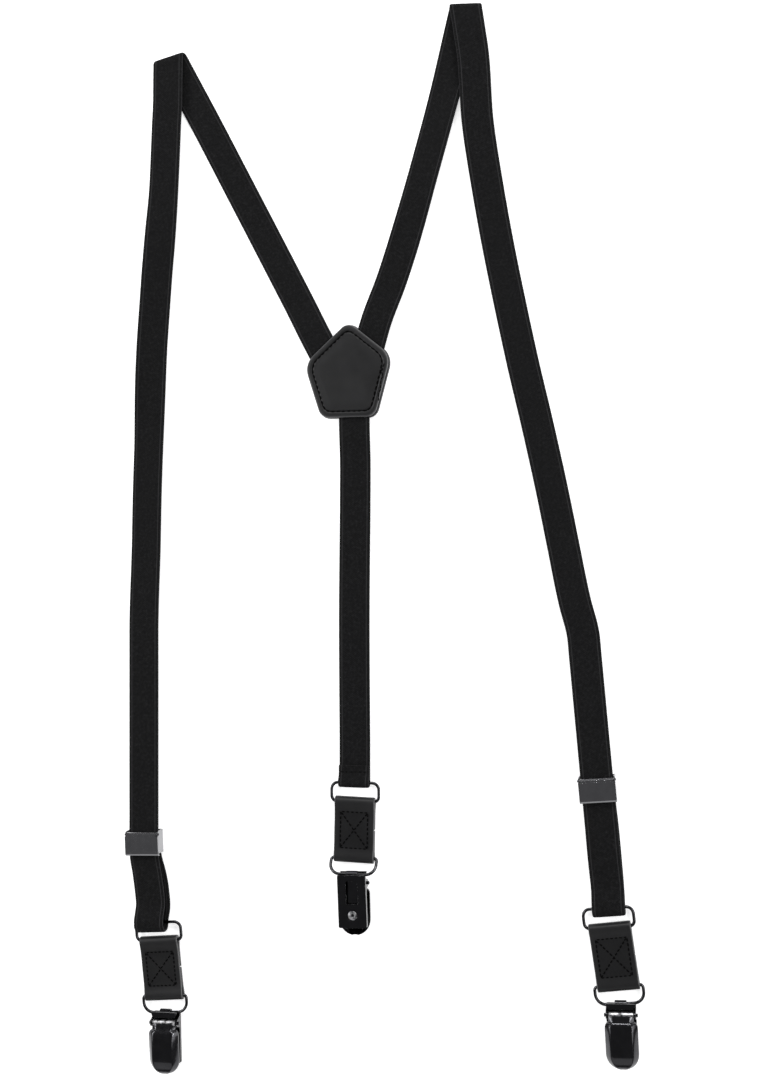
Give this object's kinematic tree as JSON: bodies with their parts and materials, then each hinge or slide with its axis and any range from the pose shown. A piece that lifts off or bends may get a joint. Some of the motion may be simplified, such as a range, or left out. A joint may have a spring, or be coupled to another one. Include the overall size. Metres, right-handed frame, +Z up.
{
  "type": "suspenders",
  "caption": "Y-back elastic trouser suspenders with leather yoke, sliders that adjust the front straps, and hinged metal clips on rings and leather tabs.",
  "frame": {"origin": "centre of the bounding box's bottom, on the surface it lies on", "axes": "+Y towards the shoulder folds, +Z up from the surface, +X to the right with the front clips nearest"},
  "size_m": [0.2516, 0.5124, 0.0094],
  "materials": {
    "webbing": "matt black ribbed elastic webbing",
    "leather": "smooth black leather, satin",
    "thread": "black sewing thread",
    "black_nickel": "polished black-nickel plate",
    "slider_plate": "polished nickel plate",
    "pad": "black rubber"
  },
  "bodies": {
    "root": {"yoke_outer_patch": "leather", "yoke_inner_patch": "leather", "yoke_stitching": "thread", "back_strap_left": "webbing", "back_strap_right": "webbing", "rear_strap": "webbing"},
    "shoulder_left": {"shoulder_fold_left": "webbing"},
    "front_left": {"front_strap_left": "webbing"},
    "slider_left": {"slider_frame_left": "slider_plate", "slider_pin_left": "slider_plate"},
    "flap_left": {"slider_flap_left": "slider_plate"},
    "loop_left": {"adjuster_loop_left": "webbing"},
    "shoulder_right": {"shoulder_fold_right": "webbing"},
    "front_right": {"front_strap_right": "webbing"},
    "slider_right": {"slider_frame_right": "slider_plate", "slider_pin_right": "slider_plate"},
    "flap_right": {"slider_flap_right": "slider_plate"},
    "loop_right": {"adjuster_loop_right": "webbing"},
    "rear_end": {"rear_strap_end": "webbing", "rear_hem_stitching": "thread"},
    "ring_left": {"strap_ring_left": "black_nickel"},
    "tab_left": {"tab_left": "leather", "tab_stitching_left": "thread"},
    "clip_ring_left": {"clip_ring_left": "black_nickel"},
    "clip_left": {"clip_body_left": "black_nickel", "clip_rivet_left": "black_nickel", "clip_pin_left": "black_nickel"},
    "jaw_left": {"clip_jaw_left": "black_nickel", "clip_pad_left": "pad"},
    "lever_left": {"clip_lever_left": "black_nickel"},
    "ring_right": {"strap_ring_right": "black_nickel"},
    "tab_right": {"tab_right": "leather", "tab_stitching_right": "thread"},
    "clip_ring_right": {"clip_ring_right": "black_nickel"},
    "clip_right": {"clip_body_right": "black_nickel", "clip_rivet_right": "black_nickel", "clip_pin_right": "black_nickel"},
    "jaw_right": {"clip_jaw_right": "black_nickel", "clip_pad_right": "pad"},
    "lever_right": {"clip_lever_right": "black_nickel"},
    "ring_rear": {"strap_ring_rear": "black_nickel"},
    "tab_rear": {"tab_rear": "leather", "tab_stitching_rear": "thread"},
    "clip_ring_rear": {"clip_ring_rear": "black_nickel"},
    "clip_rear": {"clip_body_rear": "black_nickel", "clip_rivet_rear": "black_nickel", "clip_pin_rear": "black_nickel"},
    "jaw_rear": {"clip_jaw_rear": "black_nickel", "clip_pad_rear": "pad"},
    "lever_rear": {"clip_lever_rear": "black_nickel"}
  },
  "joints": [
    {"name": "back_stretch_left", "type": "slide", "parent": "root", "child": "shoulder_left", "axis": [-0.4771, 0.8789, 0], "range_m": [0, 0.045], "stiffness_N_per_m": 150, "deforming": ["back_strap_left"]},
    {"name": "fold_left", "type": "hinge", "parent": "shoulder_left", "child": "front_left", "pos_m": [-0.10306, 0.23882, 0.0024], "axis": [-0.9705, -0.241, 0], "range_deg": [0, 178], "deforming": ["shoulder_fold_left"]},
    {"name": "loop_travel_left", "type": "slide", "parent": "front_left", "child": "loop_left", "axis": [0, 1, 0], "range_m": [-0.025, 0.045], "deforming": ["adjuster_loop_left"]},
    {"name": "slider_travel_left", "type": "slide", "parent": "loop_left", "child": "slider_left", "axis": [0, 1, 0], "range_m": [-0.025, 0.045], "deforming": ["adjuster_loop_left"]},
    {"name": "flap_left_open", "type": "hinge", "parent": "slider_left", "child": "flap_left", "pos_m": [-0.11674, -0.1397, 0.006], "axis": [-0.9991, -0.0419, 0], "range_deg": [0, 80]},
    {"name": "back_stretch_right", "type": "slide", "parent": "root", "child": "shoulder_right", "axis": [0.2317, 0.9728, 0], "range_m": [0, 0.045], "stiffness_N_per_m": 150, "deforming": ["back_strap_right"]},
    {"name": "fold_right", "type": "hinge", "parent": "shoulder_right", "child": "front_right", "pos_m": [0.04223, 0.2536, 0.0024], "axis": [-0.9992, 0.0405, 0], "range_deg": [0, 178], "deforming": ["shoulder_fold_right"]},
    {"name": "loop_travel_right", "type": "slide", "parent": "front_right", "child": "loop_right", "axis": [-0.0931, 0.9957, 0], "range_m": [-0.035, 0.03], "deforming": ["adjuster_loop_right"]},
    {"name": "slider_travel_right", "type": "slide", "parent": "loop_right", "child": "slider_right", "axis": [-0.0931, 0.9957, 0], "range_m": [-0.035, 0.03], "deforming": ["adjuster_loop_right"]},
    {"name": "flap_right_open", "type": "hinge", "parent": "slider_right", "child": "flap_right", "pos_m": [0.10383, -0.10572, 0.006], "axis": [-0.9957, -0.0931, 0], "range_deg": [0, 80]},
    {"name": "rear_stretch", "type": "slide", "parent": "root", "child": "rear_end", "axis": [0, -1, 0], "range_m": [0, 0.05], "stiffness_N_per_m": 130, "deforming": ["rear_strap"]},
    {"name": "ring_swing_left", "type": "hinge", "parent": "loop_left", "child": "ring_left", "pos_m": [-0.10987, -0.1832, 0.0024], "axis": [0.9969, 0.0785, 0], "range_deg": [-80, 80]},
    {"name": "tab_swing_left", "type": "hinge", "parent": "ring_left", "child": "tab_left", "pos_m": [-0.10917, -0.19217, 0.0024], "axis": [0.9947, 0.1028, 0], "range_deg": [-60, 60]},
    {"name": "clip_ring_swing_left", "type": "hinge", "parent": "tab_left", "child": "clip_ring_left", "pos_m": [-0.10642, -0.21873, 0.0024], "axis": [0.9969, 0.0785, 0], "range_deg": [-45, 45]},
    {"name": "clip_swing_left", "type": "hinge", "parent": "clip_ring_left", "child": "clip_left", "pos_m": [-0.10576, -0.2271, 0.0024], "axis": [0.9997, 0.0227, 0], "range_deg": [-25, 25]},
    {"name": "lever_open_left", "type": "hinge", "parent": "clip_left", "child": "lever_left", "pos_m": [-0.10566, -0.2315, 0.0048], "axis": [-0.9997, -0.0227, 0], "range_deg": [0, 95]},
    {"name": "jaw_open_left", "type": "hinge", "parent": "clip_left", "child": "jaw_left", "pos_m": [-0.10566, -0.2315, 0.0048], "axis": [-0.9997, -0.0227, 0], "range_deg": [0, 8]},
    {"name": "ring_swing_right", "type": "hinge", "parent": "loop_right", "child": "ring_right", "pos_m": [0.10853, -0.1649, 0.0024], "axis": [0.9925, 0.1219, 0], "range_deg": [-80, 80]},
    {"name": "tab_swing_right", "type": "hinge", "parent": "ring_right", "child": "tab_right", "pos_m": [0.10962, -0.17383, 0.0024], "axis": [0.989, 0.1478, 0], "range_deg": [-60, 60]},
    {"name": "clip_ring_swing_right", "type": "hinge", "parent": "tab_right", "child": "clip_ring_right", "pos_m": [0.11357, -0.20024, 0.0024], "axis": [0.9925, 0.1219, 0], "range_deg": [-45, 45]},
    {"name": "clip_swing_right", "type": "hinge", "parent": "clip_ring_right", "child": "clip_right", "pos_m": [0.11459, -0.20858, 0.0024], "axis": [0.999, 0.0454, 0], "range_deg": [-25, 25]},
    {"name": "lever_open_right", "type": "hinge", "parent": "clip_right", "child": "lever_right", "pos_m": [0.11479, -0.21297, 0.0048], "axis": [-0.999, -0.0454, 0], "range_deg": [0, 95]},
    {"name": "jaw_open_right", "type": "hinge", "parent": "clip_right", "child": "jaw_right", "pos_m": [0.11479, -0.21297, 0.0048], "axis": [-0.999, -0.0454, 0], "range_deg": [0, 8]},
    {"name": "ring_swing_rear", "type": "hinge", "parent": "rear_end", "child": "ring_rear", "pos_m": [-0.01057, -0.11135, 0.0024], "axis": [1, 0.007, 0], "range_deg": [-80, 80]},
    {"name": "tab_swing_rear", "type": "hinge", "parent": "ring_rear", "child": "tab_rear", "pos_m": [-0.01051, -0.12035, 0.0024], "axis": [0.9998, -0.0192, 0], "range_deg": [-60, 60]},
    {"name": "clip_ring_swing_rear", "type": "hinge", "parent": "tab_rear", "child": "clip_ring_rear", "pos_m": [-0.01102, -0.14704, 0.0024], "axis": [1, 0.007, 0], "range_deg": [-45, 45]},
    {"name": "clip_swing_rear", "type": "hinge", "parent": "clip_ring_rear", "child": "clip_rear", "pos_m": [-0.01097, -0.15407, 0.007], "axis": [0.9993, 0.0384, 0], "range_deg": [-25, 25]},
    {"name": "lever_open_rear", "type": "hinge", "parent": "clip_rear", "child": "lever_rear", "pos_m": [-0.01081, -0.15847, 0.0046], "axis": [0.9993, 0.0384, 0], "range_deg": [0, 95]},
    {"name": "jaw_open_rear", "type": "hinge", "parent": "clip_rear", "child": "jaw_rear", "pos_m": [-0.01081, -0.15847, 0.0046], "axis": [0.9993, 0.0384, 0], "range_deg": [0, 8]}
  ],
  "couplings": [
    {"joint": "slider_travel_left", "follows": "loop_travel_left", "ratio": 1},
    {"joint": "slider_travel_right", "follows": "loop_travel_right", "ratio": 1},
    {"joint": "jaw_open_left", "follows": "lever_open_left", "ratio": 0.08421},
    {"joint": "jaw_open_right", "follows": "lever_open_right", "ratio": 0.08421},
    {"joint": "jaw_open_rear", "follows": "lever_open_rear", "ratio": 0.08421}
  ]
}
